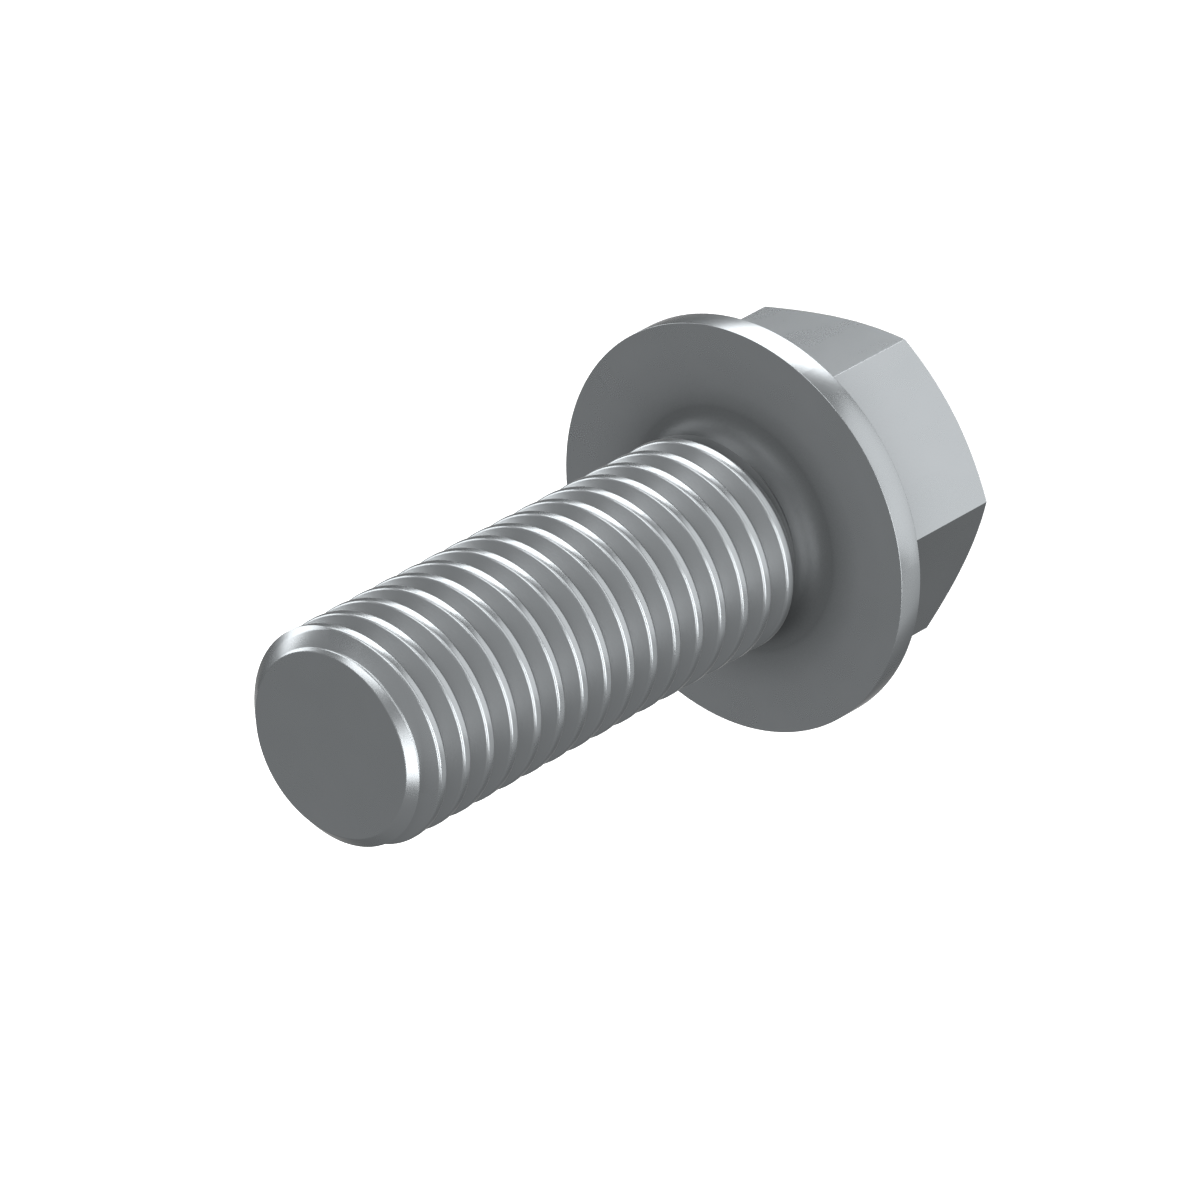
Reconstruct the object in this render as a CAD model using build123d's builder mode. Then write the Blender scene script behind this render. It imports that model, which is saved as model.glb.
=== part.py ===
from build123d import *
from math import cos, radians, sin, tan
import os

# A hexagon flange bolt, forged as one piece of steel.
# The axis is Z. The origin is on the axis in the plane of the bearing face: the shank rises above it
# and the head lies below it. Sizes are in millimetres.

# Shank: a metric M10 thread, which is drawn as its outer diameter
thread_diameter = 10.0
shank_length = 26.0
end_face_diameter = 8.3
point_angle = 45.0

# Neck between the bearing face and the first thread
neck_diameter = 8.9
neck_length = 1.65
seat_inner_diameter = 11.2
shoulder_round = 0.3
shoulder_angle = 60.0

# Flange
flange_diameter = 18.8
rim_thickness = 1.25
flange_slope = 25.0

# Hexagon head
across_flats = 13.6
corner_round = 0.15
foot_fillet = 0.4
head_height = 8.65
head_top_diameter = 12.8
head_chamfer_angle = 30.0

# How far the cut of the head's chamfer reaches past the metal that it removes
cut_margin = 1.0

# Shank, from the point down to the fillet that meets the bearing face
thread_radius = thread_diameter / 2
end_face_radius = end_face_diameter / 2
point_height = shank_length - (thread_radius - end_face_radius) / tan(radians(point_angle))
neck_radius = neck_diameter / 2
shoulder_edge_radius = thread_radius - shoulder_round * (1 - cos(radians(shoulder_angle)))
shoulder_edge_height = neck_length - shoulder_round * sin(radians(shoulder_angle))
shoulder_height = shoulder_edge_height - (shoulder_edge_radius - neck_radius) / tan(radians(shoulder_angle))
seat_inner_radius = seat_inner_diameter / 2
seat_fillet = seat_inner_radius - neck_radius

# Flange and head, below the bearing face
flange_radius = flange_diameter / 2
slope_bottom = -rim_thickness - (flange_radius - neck_radius) * tan(radians(flange_slope))
head_top_radius = head_top_diameter / 2
cut_radius = flange_radius + cut_margin
head_chamfer_rise = (cut_radius - head_top_radius) * tan(radians(head_chamfer_angle))


with BuildPart() as flange_bolt:

    # Shank and flange: one outline, turned round the axis
    with BuildSketch(Plane.XZ):
        with BuildLine():
            point = Polyline(
                (0, shank_length),
                (end_face_radius, shank_length),
                (thread_radius, point_height),
                (thread_radius, neck_length),
            )
            shoulder = RadiusArc(
                point @ 1,
                (shoulder_edge_radius, shoulder_edge_height),
                shoulder_round,
            )
            neck = Polyline(
                shoulder @ 1,
                (neck_radius, shoulder_height),
                (neck_radius, seat_fillet),
            )
            fillet_arc = RadiusArc(neck @ 1, (seat_inner_radius, 0), -seat_fillet)
            Polyline(
                fillet_arc @ 1,
                (flange_radius, 0),
                (flange_radius, -rim_thickness),
                (neck_radius, slope_bottom),
                (0, slope_bottom),
                (0, shank_length),
            )
        make_face()
    revolve(axis=Axis.Z)

    # Hexagon: a small fillet runs round its foot, where it rises from the flange's slope
    with BuildSketch(Plane.XY.offset(-head_height)) as hexagon:
        RegularPolygon(across_flats / 2, 6, major_radius=False)
        fillet(hexagon.vertices(), corner_round)
    extrude(amount=head_height - rim_thickness)
    slope = flange_bolt.faces().filter_by(GeomType.CONE).sort_by(Axis.Z)[0]
    foot = slope.edges().filter_by(GeomType.CIRCLE, reverse=True).filter_by(GeomType.LINE, reverse=True)
    fillet(foot, foot_fillet)

    # Head chamfer: the hexagon's outer end is turned to a cone, which leaves an arc on every flat
    with BuildSketch(Plane.XZ):
        with BuildLine():
            Polyline(
                (head_top_radius, -head_height),
                (cut_radius, -head_height + head_chamfer_rise),
                (cut_radius, -head_height - cut_margin),
                (head_top_radius, -head_height - cut_margin),
                close=True,
            )
        make_face()
    revolve(axis=Axis.Z, mode=Mode.SUBTRACT)

flange_bolt.part.label = "flange_bolt"

os.makedirs("parts", exist_ok=True)
export_step(flange_bolt.part, "parts/flange_bolt.step")
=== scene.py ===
"""A hexagon flange bolt, dressed for a product picture.

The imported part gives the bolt's place and outer sizes. This script adds what the plain solid leaves out:
the helical thread with its rounded crests, its run-out beside the neck and its end in the point, the
broken edges, and the satin plated finish. Sizes are written in millimetres and turned into metres where
a mesh, a lamp or a shader takes them. Angles are written in degrees.
"""

import logging
import math
from dataclasses import dataclass, field
from enum import Enum

import bmesh
import bpy
import numpy as np
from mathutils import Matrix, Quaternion, Vector


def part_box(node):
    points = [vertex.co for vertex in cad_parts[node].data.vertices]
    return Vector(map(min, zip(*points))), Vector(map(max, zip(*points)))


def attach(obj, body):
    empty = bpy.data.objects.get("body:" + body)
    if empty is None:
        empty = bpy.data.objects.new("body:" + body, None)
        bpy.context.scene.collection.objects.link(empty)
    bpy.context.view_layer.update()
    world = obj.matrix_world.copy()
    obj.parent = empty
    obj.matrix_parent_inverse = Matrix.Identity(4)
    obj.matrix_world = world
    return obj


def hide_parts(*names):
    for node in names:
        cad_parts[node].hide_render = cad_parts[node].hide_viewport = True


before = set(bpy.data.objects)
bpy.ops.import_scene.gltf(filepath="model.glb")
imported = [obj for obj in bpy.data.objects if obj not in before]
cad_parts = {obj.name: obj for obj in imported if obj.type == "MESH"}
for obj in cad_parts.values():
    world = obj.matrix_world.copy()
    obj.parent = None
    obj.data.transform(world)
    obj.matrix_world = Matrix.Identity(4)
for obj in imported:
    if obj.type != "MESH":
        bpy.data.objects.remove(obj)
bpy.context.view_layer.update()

MM = 0.001
NODE = "flange_bolt"

# The hexagon's sides, and the azimuth that one of them takes, in radians
SIDES = 6
FACE_TURN = math.radians(360 / SIDES)

# Tolerances of the mesh, in millimetres
ON_OUTLINE = 1e-5
ON_PLANE = 1e-6
WELD = 2e-4
SLIVER = 1e-4

# How often the search for the turned outline halves an edge
HALVINGS = 24

# What an input of a node is given: another node's output or a plain number
Term = bpy.types.NodeSocket | float

log = logging.getLogger("flange_bolt")


def polar(radius: float, azimuth: float, height: float) -> tuple[float, float, float]:
    """The point at a radius, an azimuth in radians and a height."""
    return radius * math.cos(azimuth), radius * math.sin(azimuth), height


def azimuth_of(vert: bmesh.types.BMVert) -> float:
    """The azimuth of a vertex, within half a turn either way, in radians."""
    return math.atan2(vert.co.y, vert.co.x)


def direction(azimuth: float, elevation: float) -> Vector:
    """The unit vector at an azimuth and an elevation, both in degrees."""
    turn, rise = math.radians(azimuth), math.radians(elevation)
    return Vector((math.cos(rise) * math.cos(turn), math.cos(rise) * math.sin(turn), math.sin(rise)))


def rounded_corner(
    before: np.ndarray, corner: np.ndarray, after: np.ndarray, radius: float, steps: int
) -> list[np.ndarray]:
    """Rounds one corner of an outline.

    Args:
        before: A point on the straight run that leads to the corner.
        corner: The sharp corner.
        after: A point on the straight run that leaves it.
        radius: The radius of the round.
        steps: How many facets the round has.

    Returns:
        The points of the round, from the first run to the second.
    """
    into = (before - corner) / np.linalg.norm(before - corner)
    out = (after - corner) / np.linalg.norm(after - corner)
    half = math.acos(float(np.clip(into @ out, -1.0, 1.0))) / 2
    middle = (into + out) / np.linalg.norm(into + out)
    centre = corner + middle * radius / math.sin(half)
    start = corner + into * radius / math.tan(half) - centre
    end = corner + out * radius / math.tan(half) - centre
    turn = math.pi - 2 * half
    points = []
    for step in range(steps + 1):
        part = step / steps
        start_share = math.sin((1 - part) * turn) / math.sin(turn)
        end_share = math.sin(part * turn) / math.sin(turn)
        points.append(centre + start_share * start + end_share * end)
    return points


def join_rings(
    bm: bmesh.types.BMesh, lower: list[bmesh.types.BMVert], upper: list[bmesh.types.BMVert]
) -> None:
    """Fills the band between two rings round the axis that have different numbers of vertices.

    Args:
        bm: The mesh that holds both rings.
        lower: The first ring, in any order.
        upper: The second ring, in any order.
    """

    def angle(vert: bmesh.types.BMVert) -> float:
        """The vertex's azimuth, from 0 to a full turn."""
        return azimuth_of(vert) % math.tau

    rings = [sorted(ring, key=angle) for ring in (lower, upper)]
    at = [0, 0]
    while at[0] < len(rings[0]) or at[1] < len(rings[1]):
        ahead = []
        for ring, index in zip(rings, at):
            done = index >= len(ring)
            following = ring[(index + 1) % len(ring)]
            turn = angle(following) + (math.tau if index + 1 >= len(ring) else 0.0)
            ahead.append(math.inf if done else turn)
        moving = 0 if ahead[0] <= ahead[1] else 1
        ring, other = rings[moving], rings[1 - moving]
        first = ring[at[moving] % len(ring)]
        second = ring[(at[moving] + 1) % len(ring)]
        third = other[at[1 - moving] % len(other)]
        bm.faces.new((first, second, third))
        at[moving] += 1


@dataclass(frozen=True)
class ThreadForm:
    """A rolled metric thread: its pitch and the shape of one ridge and one groove."""

    pitch: float = 1.5
    outer_radius: float = 5.0
    root_radius: float = 4.188
    flank_angle: float = 60.0
    crest_width: float = 0.41
    crest_round: float = 0.18
    root_round: float = 0.12
    crest_height: float = 0.85
    crest_steps: int = 6
    root_steps: int = 3

    def ridge(self) -> list[tuple[float, float]]:
        """Draws one pitch of the outline.

        Returns:
            Height above the crest's middle and radius, for each point from one crest to the next.
        """
        half_crest = self.crest_width / 2
        fall = (self.outer_radius - self.root_radius) * math.tan(math.radians(self.flank_angle / 2))
        corners = [
            np.array((0.0, self.outer_radius)),
            np.array((half_crest, self.outer_radius)),
            np.array((half_crest + fall, self.root_radius)),
            np.array((self.pitch - half_crest - fall, self.root_radius)),
            np.array((self.pitch - half_crest, self.outer_radius)),
            np.array((self.pitch, self.outer_radius)),
        ]
        rounds = (
            (self.crest_round, self.crest_steps),
            (self.root_round, self.root_steps),
            (self.root_round, self.root_steps),
            (self.crest_round, self.crest_steps),
        )
        points = []
        for index, (radius, steps) in enumerate(rounds):
            points += rounded_corner(*corners[index : index + 3], radius, steps)
        return [(float(height), float(radius)) for height, radius in points]


@dataclass(frozen=True)
class TurnedShank:
    """The turned outline that cuts the thread short at both ends: the point above, the neck below."""

    length: float
    outer_radius: float
    end_face_radius: float = 4.15
    point_angle: float = 45.0
    end_round: float = 0.10
    end_steps: int = 3
    neck_radius: float = 4.45
    neck_length: float = 1.65
    shoulder_round: float = 0.30
    shoulder_angle: float = 60.0
    shoulder_steps: int = 5
    run_out_length: float = 1.5

    @property
    def point_slope(self) -> float:
        """How much the point narrows with height."""
        return math.tan(math.radians(self.point_angle))

    @property
    def shoulder_slope(self) -> float:
        """How much the shoulder widens with height."""
        return math.tan(math.radians(self.shoulder_angle))

    @property
    def point_height(self) -> float:
        """Where the chamfer of the point starts."""
        return self.length - (self.outer_radius - self.end_face_radius) / self.point_slope

    @property
    def slope_height(self) -> float:
        """Where the shoulder's round gives way to its slope."""
        return self.neck_length - self.shoulder_round * math.sin(math.radians(self.shoulder_angle))

    @property
    def neck_height(self) -> float:
        """Where the shoulder's slope meets the neck."""
        edge = self.outer_radius - self.shoulder_round * (1 - math.cos(math.radians(self.shoulder_angle)))
        return self.slope_height - (edge - self.neck_radius) / self.shoulder_slope

    def radius_at(self, height: float) -> float:
        """Works out the outline's radius.

        Args:
            height: Where along the axis.

        Returns:
            The radius of the turned outline there, without the thread.
        """
        if height >= self.point_height:
            return self.outer_radius - (height - self.point_height) * self.point_slope
        if height >= self.neck_length:
            return self.outer_radius
        if height >= self.slope_height:
            down = self.neck_length - height
            across = math.sqrt(max(self.shoulder_round**2 - down**2, 0.0))
            return self.outer_radius - self.shoulder_round + across
        return self.neck_radius + max((height - self.neck_height) * self.shoulder_slope, 0.0)

    def groove_floor(self, height: float, root_radius: float) -> float:
        """Limits the groove's depth, so that it runs out beside the neck.

        Args:
            height: Where along the axis.
            root_radius: The radius at the bottom of the full groove.

        Returns:
            The smallest radius that the groove may reach there.
        """
        part = min(max((height - self.neck_height) / self.run_out_length, 0.0), 1.0)
        ease = part * part * (3 - 2 * part)
        return self.neck_radius + (root_radius - self.neck_radius) * ease

    def cut_heights(self) -> list[float]:
        """Lists the heights of the outline's own edges.

        Returns:
            The heights at which the thread's mesh is divided, those of the shoulder first.
        """
        turns = [self.shoulder_angle * step / self.shoulder_steps for step in range(self.shoulder_steps + 1)]
        arc = [self.neck_length - self.shoulder_round * math.sin(math.radians(turn)) for turn in turns]
        return [*arc, self.point_height]

    def end_rings(self) -> list[tuple[float, float]]:
        """Draws the broken edge of the end face.

        Returns:
            Radius and height of each of its rings, the first one on the chamfer.
        """
        centre_radius = self.end_face_radius - self.end_round * math.tan(math.radians(self.point_angle / 2))
        centre_height = self.length - self.end_round
        bend = 90 - self.point_angle
        rings = []
        for step in range(self.end_steps + 1):
            turn = math.radians(self.point_angle + bend * step / self.end_steps)
            radius = centre_radius + self.end_round * math.cos(turn)
            rings.append((radius, centre_height + self.end_round * math.sin(turn)))
        return rings


@dataclass(frozen=True)
class FlangedHead:
    """The flange and the hexagon head, from the fillet under the thread to the head's flat top."""

    flange_radius: float
    height: float
    neck_radius: float
    rim: float = 1.25
    slope_angle: float = 25.0
    across_flats: float = 13.6
    corner_round: float = 0.03
    foot_fillet: float = 0.40
    top_radius: float = 6.4
    chamfer_angle: float = 30.0
    seat_inner_radius: float = 5.6
    edge_break: float = 0.02
    corner_columns: int = 5
    flat_columns: int = 25
    fillet_steps: int = 12
    break_steps: int = 3
    foot_steps: int = 5

    @property
    def seat_fillet(self) -> float:
        """The radius of the fillet between the bearing face and the neck."""
        return self.seat_inner_radius - self.neck_radius

    @property
    def corner_centre(self) -> float:
        """How far from the axis the centre of a rounded corner is."""
        return (self.across_flats / 2 - self.corner_round) / math.cos(FACE_TURN / 2)

    @property
    def corner_turn(self) -> float:
        """Half the azimuth that a rounded corner takes, in radians."""
        half = FACE_TURN / 2
        along = self.corner_centre + self.corner_round * math.cos(half)
        return math.atan2(self.corner_round * math.sin(half), along)

    def columns(self) -> list[float]:
        """Spreads the mesh's columns round the axis.

        Returns:
            The azimuths of the columns in radians, close together round each corner of the hexagon.
        """
        edge = self.corner_turn
        gap = (FACE_TURN - 2 * edge) / (self.flat_columns + 1)
        angles: list[float] = []
        for corner in range(SIDES):
            start = FACE_TURN * corner
            angles += [start + edge * float(part) for part in np.linspace(-1, 1, self.corner_columns)]
            angles += [start + edge + gap * step for step in range(1, self.flat_columns + 1)]
        return sorted(angle % math.tau for angle in angles)

    def hexagon_radius(self, azimuth: float) -> float:
        """Works out the hexagon's radius.

        Args:
            azimuth: Where round the axis, in radians, with a corner at 0.

        Returns:
            The distance from the axis to the hexagon's side or rounded corner.
        """
        half = FACE_TURN / 2
        off = (azimuth + half) % FACE_TURN - half
        if abs(off) >= self.corner_turn:
            return self.across_flats / 2 / math.cos(half - abs(off))
        aside = self.corner_centre * math.sin(off)
        return self.corner_centre * math.cos(off) + math.sqrt(self.corner_round**2 - aside**2)

    def outline(self, azimuth: float) -> list[tuple[float, float]]:
        """Draws the head's outline at one azimuth.

        Args:
            azimuth: Where round the axis, in radians.

        Returns:
            Radius and height of each point, from the top of the fillet under the thread to the rim of the
            head's flat top. Every azimuth has the same number of points.
        """
        seat = []
        for step in range(self.fillet_steps + 1):
            turn = math.radians(90 * step / self.fillet_steps)
            radius = self.seat_inner_radius - self.seat_fillet * math.cos(turn)
            seat.append((radius, self.seat_fillet - self.seat_fillet * math.sin(turn)))
        wall = self.hexagon_radius(azimuth)
        foot = -self.rim - (self.flange_radius - wall) * math.tan(math.radians(self.slope_angle))
        chamfer = -self.height + (wall - self.top_radius) * math.tan(math.radians(self.chamfer_angle))
        rim_top = np.array((self.flange_radius, 0.0))
        rim_foot = np.array((self.flange_radius, -self.rim))
        wall_foot = np.array((wall, foot))
        wall_end = np.array((wall, chamfer))
        points = rounded_corner(np.array(seat[-1]), rim_top, rim_foot, self.edge_break, self.break_steps)
        points += rounded_corner(rim_top, rim_foot, wall_foot, self.edge_break, self.break_steps)
        points += rounded_corner(rim_foot, wall_foot, wall_end, self.foot_fillet, self.foot_steps)
        turned = [(float(radius), float(height)) for radius, height in points]
        return [*seat, *turned, (wall, chamfer), (self.top_radius, -self.height)]


class Ray(Enum):
    """The kinds of ray that see the plain white background."""

    CAMERA = "Is Camera Ray"
    GLOSSY = "Is Glossy Ray"
    TRANSMISSION = "Is Transmission Ray"


class Ease(Enum):
    """How a mapped value goes from one end of its range to the other."""

    EVEN = "LINEAR"
    SOFT = "SMOOTHSTEP"


def feed(tree: bpy.types.NodeTree, entry: bpy.types.NodeSocket, term: Term) -> None:
    """Gives an input its value.

    Args:
        tree: The node tree.
        entry: The input.
        term: Another node's output, which is linked, or a plain number.
    """
    if isinstance(term, bpy.types.NodeSocket):
        tree.links.new(term, entry)
    else:
        entry.default_value = term


def calculated(tree: bpy.types.NodeTree, operation: str, *terms: Term) -> bpy.types.NodeSocket:
    """Adds a node that works out one value from others.

    Args:
        tree: The node tree.
        operation: The calculation, under the node's own name for it.
        terms: What goes into it, outputs of nodes or plain numbers.

    Returns:
        The socket that carries the value.
    """
    node = tree.nodes.new("ShaderNodeMath")
    node.operation = operation
    for entry, term in zip(node.inputs, terms):
        feed(tree, entry, term)
    return node.outputs[0]


def mapped(
    tree: bpy.types.NodeTree,
    value: bpy.types.NodeSocket,
    source: tuple[Term, Term] = (0.0, 1.0),
    result: tuple[Term, Term] = (0.0, 1.0),
    ease: Ease = Ease.EVEN,
) -> bpy.types.NodeSocket:
    """Adds a node that maps one range of a value onto another and stops at its ends.

    Args:
        tree: The node tree.
        value: The socket that carries the value.
        source: The ends of the value's own range.
        result: What they are turned into.
        ease: How the result goes from one end to the other.

    Returns:
        The socket that carries the result.
    """
    node = tree.nodes.new("ShaderNodeMapRange")
    node.interpolation_type = ease.value
    feed(tree, node.inputs["Value"], value)
    for label, term in zip(("From Min", "From Max", "To Min", "To Max"), (*source, *result)):
        feed(tree, node.inputs[label], term)
    return node.outputs["Result"]


def blended(tree: bpy.types.NodeTree, share: Term, first: Term, second: Term) -> bpy.types.NodeSocket:
    """Adds a node that goes from one value to another.

    Args:
        tree: The node tree.
        share: How much of the second value there is, from 0 to 1.
        first: The value at a share of 0.
        second: The value at a share of 1.

    Returns:
        The socket that carries the blend.
    """
    node = tree.nodes.new("ShaderNodeMix")
    for index, term in ((0, share), (2, first), (3, second)):
        feed(tree, node.inputs[index], term)
    return node.outputs[0]


def background_mask(tree: bpy.types.NodeTree) -> bpy.types.NodeSocket:
    """Adds nodes that are 1 for the rays that see the background and 0 for the others.

    Args:
        tree: The node tree.

    Returns:
        The socket that carries the mask.
    """
    path = tree.nodes.new("ShaderNodeLightPath")
    mask = path.outputs[Ray.CAMERA.value]
    for ray in (Ray.GLOSSY, Ray.TRANSMISSION):
        mask = calculated(tree, "MAXIMUM", mask, path.outputs[ray.value])
    return mask


def shared_group(
    name: str, inputs: dict[str, float], outputs: tuple[str, ...]
) -> tuple[bpy.types.ShaderNodeTree, bpy.types.Node, bpy.types.Node]:
    """Starts a node group that materials share.

    Args:
        name: The group's name.
        inputs: The names of its inputs, with the values that they have where nothing else is set.
        outputs: The names of its outputs.

    Returns:
        The group, the node that brings its inputs in and the node that takes its outputs.
    """
    group = bpy.data.node_groups.new(name, "ShaderNodeTree")
    for label, default in inputs.items():
        socket = group.interface.new_socket(label, in_out="INPUT", socket_type="NodeSocketFloat")
        socket.default_value = default
    for label in outputs:
        group.interface.new_socket(label, in_out="OUTPUT", socket_type="NodeSocketFloat")
    return group, group.nodes.new("NodeGroupInput"), group.nodes.new("NodeGroupOutput")


@dataclass(frozen=True)
class FineGrain:
    """The fine, soft grain of a plated surface."""

    detail: float = 3.0
    middle: float = 0.5

    def group(self) -> bpy.types.ShaderNodeTree:
        """Builds the shared node group once, and gives it back after that.

        Returns:
            A node group with the grain's size in millimetres, its stretch along the axis and its contrast
            as inputs, and a value round the middle as its output.
        """
        name = "fine_grain"
        if name in bpy.data.node_groups:
            return bpy.data.node_groups[name]
        defaults = {"Size mm": 0.2, "Stretch": 1.0, "Contrast": 1.0}
        group, entry, leave = shared_group(name, defaults, ("Value",))
        nodes, links = group.nodes, group.links
        place = nodes.new("ShaderNodeTexCoord")
        stretch = nodes.new("ShaderNodeCombineXYZ")
        for part, term in zip(stretch.inputs, (1.0, 1.0, entry.outputs["Stretch"])):
            feed(group, part, term)
        scaled = nodes.new("ShaderNodeVectorMath")
        scaled.operation = "MULTIPLY"
        links.new(place.outputs["Object"], scaled.inputs[0])
        links.new(stretch.outputs[0], scaled.inputs[1])
        noise = nodes.new("ShaderNodeTexNoise")
        noise.inputs["Detail"].default_value = self.detail
        links.new(scaled.outputs[0], noise.inputs["Vector"])
        frequency = calculated(group, "DIVIDE", 1.0 / MM, entry.outputs["Size mm"])
        links.new(frequency, noise.inputs["Scale"])
        centred = calculated(group, "SUBTRACT", noise.outputs["Fac"], self.middle)
        spread = calculated(group, "MULTIPLY_ADD", centred, entry.outputs["Contrast"], self.middle)
        links.new(spread, leave.inputs["Value"])
        return group


@dataclass(frozen=True)
class ContactShade:
    """Painted shade: the base colour is darkened where one surface comes close to another.

    The fillet and the neck beside the bearing face have most of it and the thread the least. A face that
    looks down gets painted shade, darker by an even share. The same shade also dulls the gloss.
    """

    reach: float = 4.0
    seat_height: float = 3.0
    thread_share: float = 0.18
    samples: int = 8
    # How the closeness of other surfaces turns into painted shade, and its darkest share
    closed_in: float = 0.33
    in_the_open: float = 0.92
    darkest: float = 0.04
    # Where the hollow's painted shade lies round the neck, in millimetres
    hollow_inner_radius: float = 4.6
    hollow_outer_radius: float = 5.9
    hollow_height: float = 1.5
    hollow_end_height: float = 2.3
    # The share of the colour left at the neck by the hollow's painted shade
    hollow_painted_shade: float = 0.38
    # Painted shade on faces that look down: the tilts it runs between and the share left
    facing_down: float = -0.8
    facing_out: float = -0.3
    sheltered: float = 0.5

    def group(self) -> bpy.types.ShaderNodeTree:
        """Builds the shared node group once, and gives it back after that.

        Returns:
            A node group with its reach and the height of the seat in metres and the thread's share as
            inputs, and two outputs, one for the painted shade of the colour and one for the gloss. Both are
            1 in the open and fall towards 0 in a deep corner, and in the hollow round the neck the painted
            shade falls less.
        """
        name = "contact_shade"
        if name in bpy.data.node_groups:
            return bpy.data.node_groups[name]
        defaults = {
            "Reach": self.reach * MM,
            "Seat Height": self.seat_height * MM,
            "Thread Share": self.thread_share,
        }
        group, entry, leave = shared_group(name, defaults, ("Painted Shade", "Gloss"))
        nodes, links = group.nodes, group.links
        place = nodes.new("ShaderNodeTexCoord")
        at = nodes.new("ShaderNodeSeparateXYZ")
        links.new(place.outputs["Object"], at.inputs[0])
        facing = nodes.new("ShaderNodeSeparateXYZ")
        links.new(place.outputs["Normal"], facing.inputs[0])

        # Painted shade from other surfaces that are close, which count less and less from the seat up to the
        # thread
        corner = nodes.new("ShaderNodeAmbientOcclusion")
        corner.samples = self.samples
        corner.only_local = True
        links.new(entry.outputs["Reach"], corner.inputs["Distance"])
        openness = (self.closed_in, self.in_the_open)
        open_part = mapped(group, corner.outputs["AO"], openness, (self.darkest, 1.0))
        seat = (0.0, entry.outputs["Seat Height"])
        share = mapped(group, at.outputs["Z"], seat, (1.0, entry.outputs["Thread Share"]))
        near = blended(group, share, 1.0, open_part)

        # Painted shade in the hollow round the neck, up to where the thread begins; the same mask dulls the
        # gloss
        across = nodes.new("ShaderNodeCombineXYZ")
        for axis in ("X", "Y"):
            links.new(at.outputs[axis], across.inputs[axis])
        radius = nodes.new("ShaderNodeVectorMath")
        radius.operation = "LENGTH"
        links.new(across.outputs[0], radius.inputs[0])
        width = (self.hollow_inner_radius * MM, self.hollow_outer_radius * MM)
        hollow = mapped(group, radius.outputs["Value"], width, ease=Ease.SOFT)
        above = mapped(group, at.outputs["Z"], (self.hollow_height * MM, self.hollow_end_height * MM))
        neck = blended(group, above, hollow, 1.0)

        # Painted shade on faces that look down, darker by an even share
        tilt = (self.facing_down, self.facing_out)
        shelter = mapped(group, facing.outputs["Z"], tilt, (self.sheltered, 1.0))
        covered = calculated(group, "MULTIPLY", near, shelter)

        # Painted shade for the colour, which in the hollow falls only part of the way; the gloss takes the
        # full mask
        painted_neck_shade = mapped(group, neck, result=(self.hollow_painted_shade, 1.0))
        for label, part in (("Painted Shade", painted_neck_shade), ("Gloss", neck)):
            links.new(calculated(group, "MULTIPLY", covered, part), leave.inputs[label])
        return group


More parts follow.
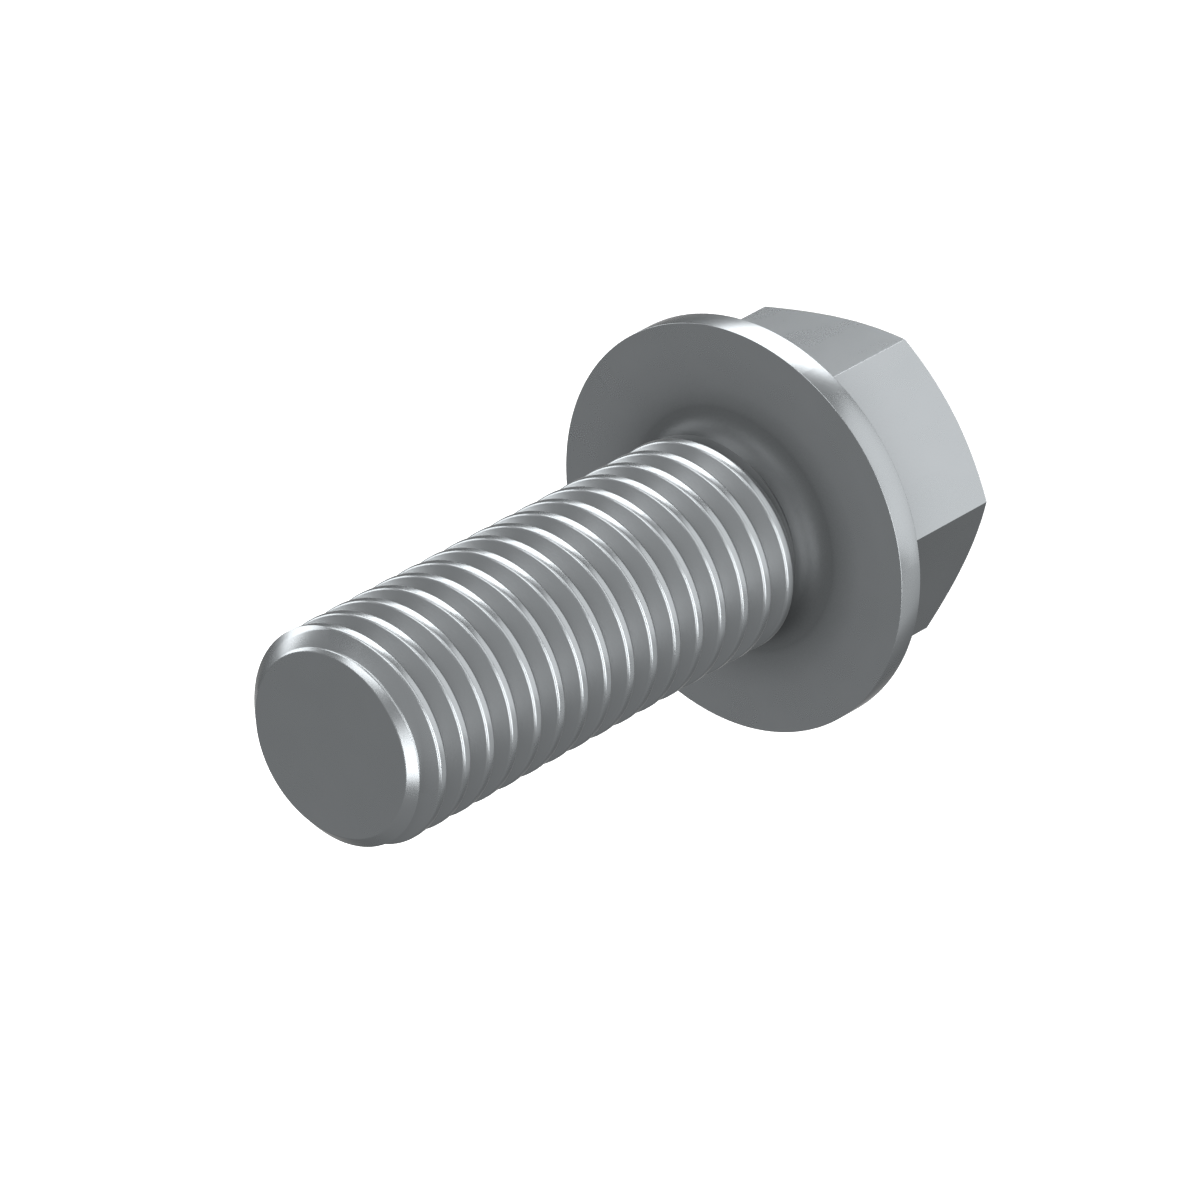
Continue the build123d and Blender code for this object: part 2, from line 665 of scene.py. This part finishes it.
@dataclass(frozen=True)
class PlatedSteel:
    """Smooth satin zinc plating on steel, with a grain too fine to count, faint clouds in the gloss and
    painted shade in its corners.
    """

    colour: tuple[float, float, float] = (0.141, 0.149, 0.154)
    cloud_colour: tuple[float, float, float] = (0.149, 0.157, 0.162)
    edge_tint: float = 0.45
    roughness_low: float = 0.265
    roughness_high: float = 0.285
    corner_roughness: float = 0.26
    cloud_size: float = 2.5
    cloud_stretch: float = 0.6
    cloud_contrast: float = 1.6
    grain_size: float = 0.06
    grain_contrast: float = 1.2
    grain_share: float = 0.35
    grain_depth: float = 0.00005
    grain_strength: float = 0.6
    grain_form: FineGrain = field(default_factory=FineGrain)
    # Painted shade in the corners and on faces that look down
    contact: ContactShade = field(default_factory=ContactShade)

    def grain(
        self, tree: bpy.types.NodeTree, size: float, contrast: float, stretch: float = 1.0
    ) -> bpy.types.NodeSocket:
        """Places the shared grain group.

        Args:
            tree: The material's node tree.
            size: The grain's size in millimetres.
            contrast: How far its value goes to either side of the middle.
            stretch: How close it lies along the axis, where 1 is as close as across it.

        Returns:
            The socket that carries its value.
        """
        node = tree.nodes.new("ShaderNodeGroup")
        node.node_tree = self.grain_form.group()
        for label, value in (("Size mm", size), ("Stretch", stretch), ("Contrast", contrast)):
            node.inputs[label].default_value = value
        return node.outputs["Value"]

    def material(self) -> bpy.types.Material:
        """Builds the finish.

        Returns:
            The material, with its colour and gloss varied by the clouds, the grain and the painted contact
            shade.
        """
        material = bpy.data.materials.new("plated_steel")
        material.use_nodes = True
        tree = material.node_tree
        nodes, links = tree.nodes, tree.links
        surface = nodes["Principled BSDF"]
        surface.inputs["Metallic"].default_value = 1.0
        surface.inputs["Specular Tint"].default_value = (self.edge_tint, self.edge_tint, self.edge_tint, 1.0)
        clouds = self.grain(tree, self.cloud_size, self.cloud_contrast, self.cloud_stretch)
        fine = self.grain(tree, self.grain_size, self.grain_contrast)
        # Painted shade, which darkens the base colour and dulls the gloss
        shade = nodes.new("ShaderNodeGroup")
        shade.node_tree = self.contact.group()

        colour = nodes.new("ShaderNodeMix")
        colour.data_type = "RGBA"
        colour.inputs[6].default_value = (*self.colour, 1.0)
        colour.inputs[7].default_value = (*self.cloud_colour, 1.0)
        links.new(clouds, colour.inputs[0])
        shaded = nodes.new("ShaderNodeVectorMath")
        shaded.operation = "SCALE"
        links.new(colour.outputs[2], shaded.inputs[0])
        links.new(shade.outputs["Painted Shade"], shaded.inputs["Scale"])
        links.new(shaded.outputs[0], surface.inputs["Base Color"])

        cloud_part = calculated(tree, "MULTIPLY", clouds, 1 - self.grain_share)
        both = calculated(tree, "MULTIPLY_ADD", fine, self.grain_share, cloud_part)
        gloss = mapped(tree, both, result=(self.roughness_low, self.roughness_high))
        dull = mapped(tree, shade.outputs["Gloss"], result=(self.corner_roughness, 0.0))
        links.new(calculated(tree, "ADD", gloss, dull), surface.inputs["Roughness"])

        bump = nodes.new("ShaderNodeBump")
        bump.inputs["Strength"].default_value = self.grain_strength
        bump.inputs["Distance"].default_value = self.grain_depth * MM
        links.new(fine, bump.inputs["Height"])
        links.new(bump.outputs["Normal"], surface.inputs["Normal"])
        return material


@dataclass
class FlangeBolt:
    """The whole bolt as one closed surface."""

    thread: ThreadForm
    shank: TurnedShank
    head: FlangedHead
    finish: PlatedSteel = field(default_factory=PlatedSteel)
    sharp_angle: float = 24.0
    shading_weight: int = 60

    def threaded_bar(self, bm: bmesh.types.BMesh) -> None:
        """Adds a threaded bar that is longer than the shank at both ends.

        Args:
            bm: The mesh that gets the bar.
        """
        ridge = self.thread.ridge()
        pitch = self.thread.pitch
        first = math.floor((self.shank.neck_height - self.thread.crest_height) / pitch) - 1
        last = math.ceil((self.shank.length - self.thread.crest_height) / pitch) + 1
        rows = [
            (turn * pitch + self.thread.crest_height + rise, radius)
            for turn in range(first, last)
            for rise, radius in ridge
        ]
        columns = []
        for azimuth in self.head.columns():
            column = []
            for base, radius in rows:
                height = base + pitch * azimuth / math.tau
                deep = max(radius, self.shank.groove_floor(height, self.thread.root_radius))
                column.append(bm.verts.new(polar(deep, azimuth, height)))
            columns.append(column)
        for index, column in enumerate(columns):
            closing = index + 1 == len(columns)
            shift = len(ridge) if closing else 0
            following = columns[0] if closing else columns[index + 1]
            for row in range(len(rows) - 1 - shift):
                beside = row + shift
                bm.faces.new((column[row], following[beside], following[beside + 1], column[row + 1]))

    def turn_to_outline(self, bm: bmesh.types.BMesh) -> None:
        """Divides the bar along the turned outline and brings what stands outside it onto it.

        Args:
            bm: The mesh that holds the bar.
        """

        def outside(co: Vector) -> float:
            """How far a point stands outside the turned outline."""
            return math.hypot(co.x, co.y) - self.shank.radius_at(co.z)

        for height in self.shank.cut_heights():
            self.divide(bm, height)
        on_edge = []
        for edge in list(bm.edges):
            start, end = edge.verts
            low, high = outside(start.co), outside(end.co)
            if low * high >= 0 or min(abs(low), abs(high)) < ON_OUTLINE:
                continue
            near, far = 0.0, 1.0
            for _ in range(HALVINGS):
                part = (near + far) / 2
                if outside(start.co.lerp(end.co, part)) * low > 0:
                    near = part
                else:
                    far = part
            on_edge.append(bmesh.utils.edge_split(edge, start, (near + far) / 2)[1])
        crossing = set(on_edge)
        on_edge += [v for v in bm.verts if abs(outside(v.co)) < ON_OUTLINE and v not in crossing]
        crossing = set(on_edge)
        bmesh.ops.connect_verts(bm, verts=on_edge)
        for vert in bm.verts:
            if vert not in crossing and outside(vert.co) > 0:
                wanted = self.shank.radius_at(vert.co.z) / math.hypot(vert.co.x, vert.co.y)
                vert.co.x *= wanted
                vert.co.y *= wanted

    def divide(
        self, bm: bmesh.types.BMesh, height: float, clear_above: bool = False, clear_below: bool = False
    ) -> list[bmesh.types.BMVert]:
        """Cuts the mesh by a level plane.

        Args:
            bm: The mesh.
            height: The plane's height.
            clear_above: Whether what lies above the plane is taken away.
            clear_below: Whether what lies below it is taken away.

        Returns:
            The vertices of the cut.
        """
        cut = bmesh.ops.bisect_plane(
            bm,
            geom=bm.verts[:] + bm.edges[:] + bm.faces[:],
            dist=ON_PLANE,
            plane_co=(0, 0, height),
            plane_no=(0, 0, 1),
            clear_outer=clear_above,
            clear_inner=clear_below,
        )
        return [item for item in cut["geom_cut"] if isinstance(item, bmesh.types.BMVert)]

    def end_face(self, bm: bmesh.types.BMesh) -> None:
        """Closes the point with its broken edge and flat end face.

        Args:
            bm: The mesh that holds the threaded bar.
        """
        rings = self.shank.end_rings()
        ring = self.divide(bm, rings[0][1], clear_above=True)
        ring.sort(key=azimuth_of)
        for radius, height in rings[1:]:
            following = [bm.verts.new(polar(radius, azimuth_of(vert), height)) for vert in ring]
            for index, vert in enumerate(ring):
                after = (index + 1) % len(ring)
                bm.faces.new((vert, ring[after], following[after], following[index]))
            ring = following
        bm.faces.new(ring)

    def head_surface(self, bm: bmesh.types.BMesh) -> list[bmesh.types.BMVert]:
        """Adds the flange and the head.

        Args:
            bm: The mesh.

        Returns:
            The ring at the top of the fillet, which meets the shank.
        """
        columns = []
        for azimuth in self.head.columns():
            points = self.head.outline(azimuth)
            columns.append([bm.verts.new(polar(radius, azimuth, height)) for radius, height in points])
        for index, column in enumerate(columns):
            following = columns[(index + 1) % len(columns)]
            for row in range(len(column) - 1):
                bm.faces.new((column[row], column[row + 1], following[row + 1], following[row]))
        bm.faces.new([column[-1] for column in reversed(columns)])
        return [column[0] for column in columns]

    def mesh(self) -> bpy.types.Mesh:
        """Builds the bolt's mesh.

        Returns:
            The mesh, in metres.
        """
        bm = bmesh.new()
        self.threaded_bar(bm)
        self.turn_to_outline(bm)
        self.end_face(bm)
        neck = self.divide(bm, self.shank.neck_height, clear_below=True)
        seat = self.head_surface(bm)
        join_rings(bm, seat, neck)
        bmesh.ops.remove_doubles(bm, verts=bm.verts[:], dist=WELD)
        bmesh.ops.dissolve_degenerate(bm, edges=bm.edges[:], dist=SLIVER)
        bmesh.ops.recalc_face_normals(bm, faces=bm.faces[:])
        bmesh.ops.scale(bm, vec=(MM, MM, MM), verts=bm.verts[:])
        mesh = bpy.data.meshes.new("flange_bolt_body")
        bm.to_mesh(mesh)
        open_edges = sum(1 for edge in bm.edges if len(edge.link_faces) != 2)
        log.info("mesh: %d vertices, %d faces, %d open edges", len(bm.verts), len(bm.faces), open_edges)
        bm.free()
        mesh.shade_smooth()
        mesh.set_sharp_from_angle(angle=math.radians(self.sharp_angle))
        return mesh

    def build(self) -> bpy.types.Object:
        """Makes the bolt and puts it in the place of the plain solid.

        Returns:
            The bolt's object.
        """
        bolt = bpy.data.objects.new("flange_bolt_threaded", self.mesh())
        bpy.context.scene.collection.objects.link(bolt)
        normals = bolt.modifiers.new("even_shading", "WEIGHTED_NORMAL")
        normals.keep_sharp = True
        normals.weight = self.shading_weight
        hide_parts(NODE)
        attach(bolt, "root")
        bolt.visible_glossy = False
        return bolt

    def dress(self, bolt: bpy.types.Object) -> None:
        """Gives the bolt its finish."""
        bolt.data.materials.append(self.finish.material())


@dataclass(frozen=True)
class StudioFloor:
    """A plain pale floor under the head, which is white to the camera apart from the bolt's soft shadow."""

    height: float
    half_size: float = 400.0
    colour: tuple[float, float, float] = (0.86, 0.86, 0.86)
    glow: float = 0.5

    def material(self) -> bpy.types.Material:
        """Builds the floor's finish.

        Returns:
            A matt white, with the background's glow for the rays that see it.
        """
        material = bpy.data.materials.new("white_floor")
        material.use_nodes = True
        tree = material.node_tree
        surface = tree.nodes["Principled BSDF"]
        surface.inputs["Base Color"].default_value = (*self.colour, 1.0)
        surface.inputs["Roughness"].default_value = 1.0
        surface.inputs["Specular IOR Level"].default_value = 0.0
        surface.inputs["Emission Color"].default_value = (1.0, 1.0, 1.0, 1.0)
        strength = calculated(tree, "MULTIPLY", background_mask(tree), self.glow)
        tree.links.new(strength, surface.inputs["Emission Strength"])
        return material

    def build(self) -> bpy.types.Object:
        """Makes the floor, a plain sheet.

        Returns:
            The floor's object.
        """
        size, level = self.half_size * MM, self.height * MM
        mesh = bpy.data.meshes.new("studio_floor")
        corners = [(-size, -size, level), (size, -size, level), (size, size, level), (-size, size, level)]
        mesh.from_pydata(corners, [], [(0, 1, 2, 3)])
        floor = bpy.data.objects.new("studio_floor", mesh)
        bpy.context.scene.collection.objects.link(floor)
        mesh.materials.append(self.material())
        floor.visible_glossy = False
        floor.visible_shadow = False
        return floor


@dataclass(frozen=True)
class SoftPanel:
    """One soft studio panel, placed round the bolt and turned towards it.

    The azimuth is measured from the side that the camera is on, and the aim is a height on the bolt's axis.
    """

    name: str
    azimuth: float
    elevation: float
    width: float
    height: float
    radiance: float
    distance: float = 300.0
    aim: float = 8.0

    def build(self, camera_azimuth: float) -> bpy.types.Object:
        """Makes the panel's lamp.

        Args:
            camera_azimuth: The camera's azimuth in degrees.

        Returns:
            The lamp's object.
        """
        away = direction(camera_azimuth + self.azimuth, self.elevation)
        data = bpy.data.lights.new(self.name, "AREA")
        data.shape = "RECTANGLE"
        data.size, data.size_y = self.width * MM, self.height * MM
        data.energy = self.radiance * math.pi * data.size * data.size_y
        lamp = bpy.data.objects.new(self.name, data)
        lamp.location = Vector((0, 0, self.aim * MM)) + away * self.distance * MM
        lamp.rotation_mode = "QUATERNION"
        lamp.rotation_quaternion = away.to_track_quat("Z", "Y")
        lamp.visible_camera = False
        bpy.context.scene.collection.objects.link(lamp)
        return lamp


@dataclass(frozen=True)
class StudioLight:
    """The even light of the room and the soft panels round the bolt."""

    level: float = 0.6
    panels: tuple[SoftPanel, ...] = (
        SoftPanel("low_left_panel", azimuth=-76, elevation=-43, width=150, height=200, radiance=1.1),
        SoftPanel("low_front_panel", azimuth=-14, elevation=-43, width=360, height=200, radiance=2.8),
        SoftPanel("low_right_panel", azimuth=79, elevation=-43, width=200, height=180, radiance=10.0),
        SoftPanel("middle_left_panel", azimuth=-43, elevation=-1, width=330, height=140, radiance=9.0),
        SoftPanel("middle_front_panel", azimuth=16, elevation=6, width=300, height=170, radiance=3.6),
        SoftPanel("middle_right_panel", azimuth=75, elevation=-4, width=230, height=150, radiance=7.5),
        SoftPanel("high_left_panel", azimuth=-46, elevation=39, width=270, height=100, radiance=9.6),
        SoftPanel("high_right_panel", azimuth=52, elevation=40, width=210, height=110, radiance=8.0),
        SoftPanel("back_panel", azimuth=124, elevation=9, width=150, height=150, radiance=8.0),
        SoftPanel("top_panel", azimuth=0, elevation=75, width=400, height=250, radiance=0.4),
    )

    def build(self, camera_azimuth: float) -> None:
        """Sets the world and adds the panels.

        Args:
            camera_azimuth: The camera's azimuth in degrees.
        """
        world = bpy.data.worlds.new("white_room")
        world.use_nodes = True
        tree = world.node_tree
        room = tree.nodes["Background"]
        room.inputs["Color"].default_value = (1.0, 1.0, 1.0, 1.0)
        strength = mapped(tree, background_mask(tree), result=(self.level, 1.0))
        tree.links.new(strength, room.inputs["Strength"])
        bpy.context.scene.world = world
        for panel in self.panels:
            panel.build(camera_azimuth)


@dataclass(frozen=True)
class ProductCamera:
    """A long lens above the point's side of the bolt, rolled so that the bolt lies across the picture."""

    aim_height: float = 8.77
    distance: float = 420.3
    azimuth: float = -27.65
    elevation: float = 42.67
    roll: float = -118.37
    lens: float = 296.8
    sensor: float = 36.0
    nearest: float = 10.0
    furthest: float = 10000.0

    def build(self) -> bpy.types.Object:
        """Makes the camera and gives it to the scene.

        Returns:
            The camera's object.
        """
        data = bpy.data.cameras.new("product_camera")
        data.sensor_width = self.sensor
        data.lens = self.lens
        data.clip_start, data.clip_end = self.nearest * MM, self.furthest * MM
        camera = bpy.data.objects.new("product_camera", data)
        away = direction(self.azimuth, self.elevation)
        camera.location = Vector((0, 0, self.aim_height * MM)) + away * self.distance * MM
        camera.rotation_mode = "QUATERNION"
        rolled = Quaternion((0, 0, 1), math.radians(self.roll))
        camera.rotation_quaternion = (-away).to_track_quat("-Z", "Y") @ rolled
        bpy.context.scene.collection.objects.link(camera)
        bpy.context.scene.camera = camera
        return camera


def main() -> None:
    """Builds the bolt, the floor, the light and the camera, in that order."""
    logging.basicConfig(level=logging.INFO, format="%(message)s")
    low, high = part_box(NODE)
    thread = ThreadForm()
    shank = TurnedShank(length=high.z / MM, outer_radius=thread.outer_radius)
    head = FlangedHead(flange_radius=high.x / MM, height=-low.z / MM, neck_radius=shank.neck_radius)
    bolt = FlangeBolt(thread, shank, head)
    piece = bolt.build()
    bolt.dress(piece)
    log.info("%s: shank %.2f mm, flange %.2f mm across", piece.name, shank.length, 2 * head.flange_radius)
    floor = StudioFloor(height=low.z / MM).build()
    log.info("%s: at %.2f mm", floor.name, low.z / MM)
    camera = ProductCamera()
    StudioLight().build(camera.azimuth)
    camera.build()
    log.info("camera: %.1f mm away", camera.distance)
    bpy.context.scene.view_settings.view_transform = "Standard"


if __name__ == "__main__":
    main()
